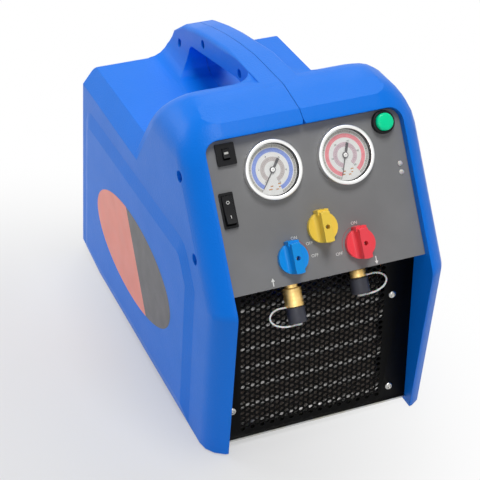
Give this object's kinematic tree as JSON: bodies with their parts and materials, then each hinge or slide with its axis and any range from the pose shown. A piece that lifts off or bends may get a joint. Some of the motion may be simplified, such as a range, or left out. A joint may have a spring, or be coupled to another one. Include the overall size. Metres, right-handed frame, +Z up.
{
  "type": "refrigerant recovery machine",
  "caption": "Portable refrigerant recovery machine with a leaning control panel, gauges, valve knobs, capped ports, a perforated front and a moulded carrying handle.",
  "frame": {"origin": "on the floor under the middle of the machine's bounding box", "axes": "+Z up, -Y the way the control panel looks, +Y along the length towards the rear vent, +X to the right as seen from the front"},
  "size_m": [0.25, 0.449, 0.3405],
  "materials": {
    "blue_plastic": "moulded, finely pebbled",
    "panel_paint": "powder-coated grey",
    "black_steel": "black powder coat",
    "black_plastic": "moulded",
    "zinc": "zinc plated",
    "aluminium": "mill finish",
    "cast_aluminium": "as cast",
    "brass": "turned",
    "copper": "drawn copper tube",
    "white_dial": "printed",
    "clear_lens": "clear",
    "blue_knob": "moulded",
    "yellow_knob": "moulded",
    "red_knob": "moulded",
    "green_button": "moulded",
    "white_plastic": "moulded",
    "rubber": "moulded"
  },
  "bodies": {
    "machine": {"base_plate": "zinc", "breaker_body": "black_plastic", "condenser": "aluminium", "control_panel": "panel_paint", "crankcase": "cast_aluminium", "crankcase_cover": "cast_aluminium", "discharge_pipe": "copper", "fan_shroud": "black_steel", "front_grille": "black_steel", "front_left_foot": "rubber", "front_right_foot": "rubber", "high_gauge_bezel": "zinc", "high_gauge_case": "black_steel", "high_gauge_dial": "white_dial", "high_gauge_lens": "clear_lens", "high_gauge_line": "copper", "high_pressure_lamp": "white_plastic", "inlet_cap_strap": "white_plastic", "inlet_fitting": "brass", "left_cylinder": "cast_aluminium", "left_shell": "blue_plastic", "liquid_line": "copper", "low_gauge_bezel": "zinc", "low_gauge_case": "black_steel", "low_gauge_dial": "white_dial", "low_gauge_lens": "clear_lens", "low_gauge_line": "copper", "low_pressure_lamp": "white_plastic", "mode_switch_frame": "black_plastic", "motor": "black_steel", "motor_saddle": "zinc", "outlet_cap_strap": "white_plastic", "outlet_fitting": "brass", "power_inlet": "black_plastic", "pressure_cutout": "black_plastic", "rear_left_foot": "rubber", "rear_right_foot": "rubber", "rear_vent": "black_steel", "right_cylinder": "cast_aluminium", "right_shell": "blue_plastic", "run_capacitor": "aluminium", "start_switch_body": "black_plastic", "suction_pipe": "copper", "valve_block": "cast_aluminium"},
    "inlet_valve": {"inlet_knob": "blue_knob", "inlet_stem": "brass"},
    "purge_valve": {"purge_knob": "yellow_knob", "purge_stem": "brass"},
    "outlet_valve": {"outlet_knob": "red_knob", "outlet_stem": "brass"},
    "low_needle": {"low_gauge_needle": "black_plastic"},
    "high_needle": {"high_gauge_needle": "black_plastic"},
    "start_push": {"start_button": "green_button"},
    "mode_rocker": {"mode_switch_rocker": "black_plastic"},
    "breaker_reset": {"breaker_rocker": "black_plastic"},
    "drive": {"fan_rotor": "black_plastic", "drive_shaft": "zinc"},
    "inlet_dust_cap": {"inlet_cap": "black_plastic"},
    "outlet_dust_cap": {"outlet_cap": "black_plastic"}
  },
  "joints": [
    {"name": "inlet_valve_turn", "type": "hinge", "parent": "machine", "child": "inlet_valve", "pos_m": [-0.0346, -0.19471, 0.21536], "axis": [0, -0.8554, 0.518], "range_deg": [-180, 0]},
    {"name": "purge_valve_turn", "type": "hinge", "parent": "machine", "child": "purge_valve", "pos_m": [0, -0.18303, 0.23464], "axis": [0, -0.8554, 0.518], "range_deg": [0, 180]},
    {"name": "outlet_valve_turn", "type": "hinge", "parent": "machine", "child": "outlet_valve", "pos_m": [0.0346, -0.19471, 0.21536], "axis": [0, -0.8554, 0.518], "range_deg": [0, 90]},
    {"name": "low_needle_sweep", "type": "hinge", "parent": "machine", "child": "low_needle", "pos_m": [-0.0372, -0.15092, 0.28766], "axis": [0, -0.8554, 0.518], "range_deg": [-270, 0]},
    {"name": "high_needle_sweep", "type": "hinge", "parent": "machine", "child": "high_needle", "pos_m": [0.0372, -0.15092, 0.28766], "axis": [0, -0.8554, 0.518], "range_deg": [-270, 0]},
    {"name": "start_button_press", "type": "slide", "parent": "machine", "child": "start_push", "axis": [0, 0.8554, -0.518], "range_m": [0, 0.003], "stiffness_N_per_m": 600},
    {"name": "mode_rocker_tip", "type": "hinge", "parent": "machine", "child": "mode_rocker", "pos_m": [-0.0871, -0.16614, 0.26311], "axis": [1, 0, 0], "range_deg": [0, 18]},
    {"name": "breaker_reset_tip", "type": "hinge", "parent": "machine", "child": "breaker_reset", "pos_m": [-0.0795, -0.13963, 0.30689], "axis": [1, 0, 0], "range_deg": [0, 18]},
    {"name": "drive_spin", "type": "hinge", "parent": "machine", "child": "drive", "pos_m": [0, -0.1, 0.098], "axis": [0, 1, 0], "continuous": true},
    {"name": "inlet_cap_pull", "type": "slide", "parent": "machine", "child": "inlet_dust_cap", "axis": [0, -0.518, -0.8554], "range_m": [0, 0.012], "deforming": ["inlet_cap_strap"]},
    {"name": "outlet_cap_pull", "type": "slide", "parent": "machine", "child": "outlet_dust_cap", "axis": [0, -0.518, -0.8554], "range_m": [0, 0.012], "deforming": ["outlet_cap_strap"]}
  ]
}
